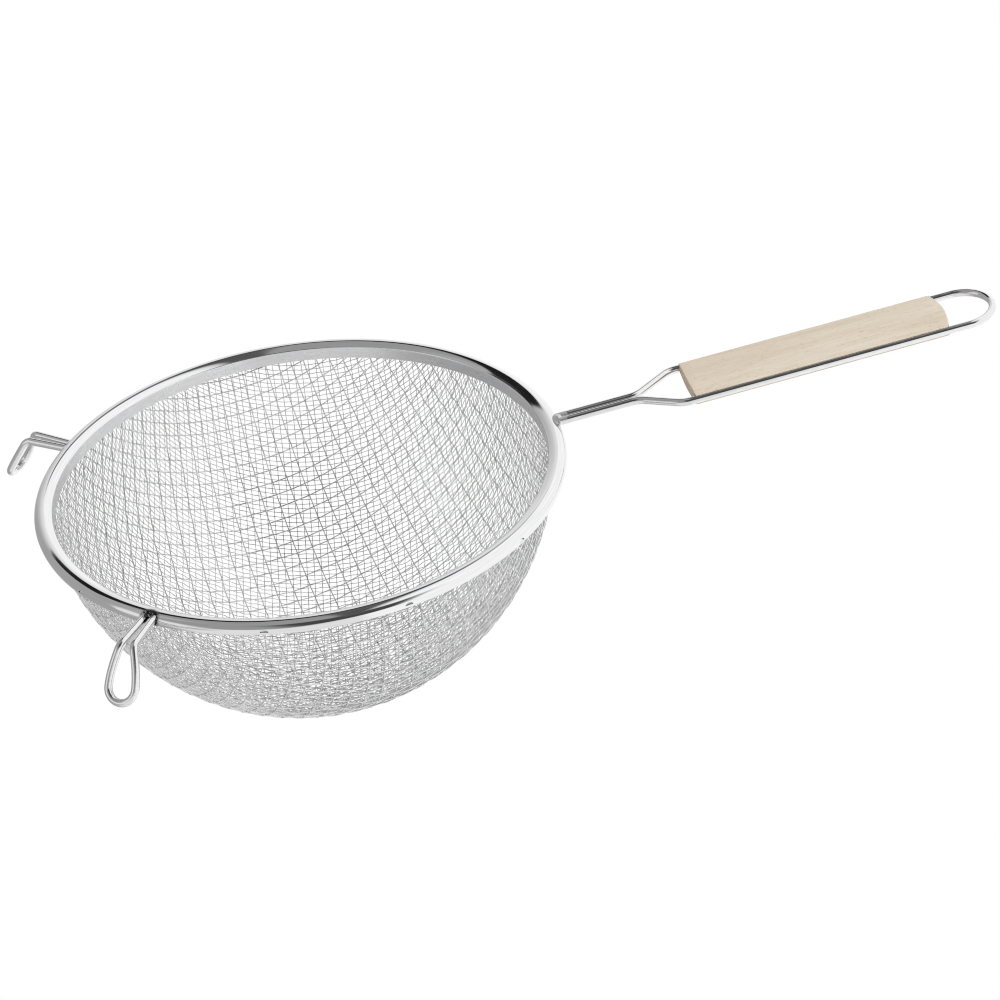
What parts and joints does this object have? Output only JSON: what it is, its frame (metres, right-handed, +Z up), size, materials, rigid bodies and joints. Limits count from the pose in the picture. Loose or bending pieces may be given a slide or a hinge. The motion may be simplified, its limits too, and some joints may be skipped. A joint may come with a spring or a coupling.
{
  "type": "double mesh strainer",
  "caption": "Round-bottomed strainer with two layers of woven wire mesh in a rolled steel rim, a wood-gripped wire handle and wire rest hooks opposite it.",
  "frame": {"origin": "centre of the bowl's mouth, level with the top of the rim", "axes": "+X towards the handle, +Z up out of the bowl, +Y completes a right-handed frame"},
  "size_m": [0.4945, 0.2615, 0.1381],
  "materials": {
    "rim_steel": "polished",
    "wire_steel": "polished",
    "coarse_mesh_steel": "bright woven wire",
    "fine_mesh_steel": "bright woven wire",
    "beech": "plain sanded"
  },
  "bodies": {
    "root": {"rim_band": "rim_steel", "coarse_mesh_bowl": "coarse_mesh_steel", "fine_mesh_bowl": "fine_mesh_steel", "handle_wire": "wire_steel", "wood_grip": "beech", "front_rest_hook": "wire_steel", "rear_rest_hook": "wire_steel"}
  },
  "joints": []
}
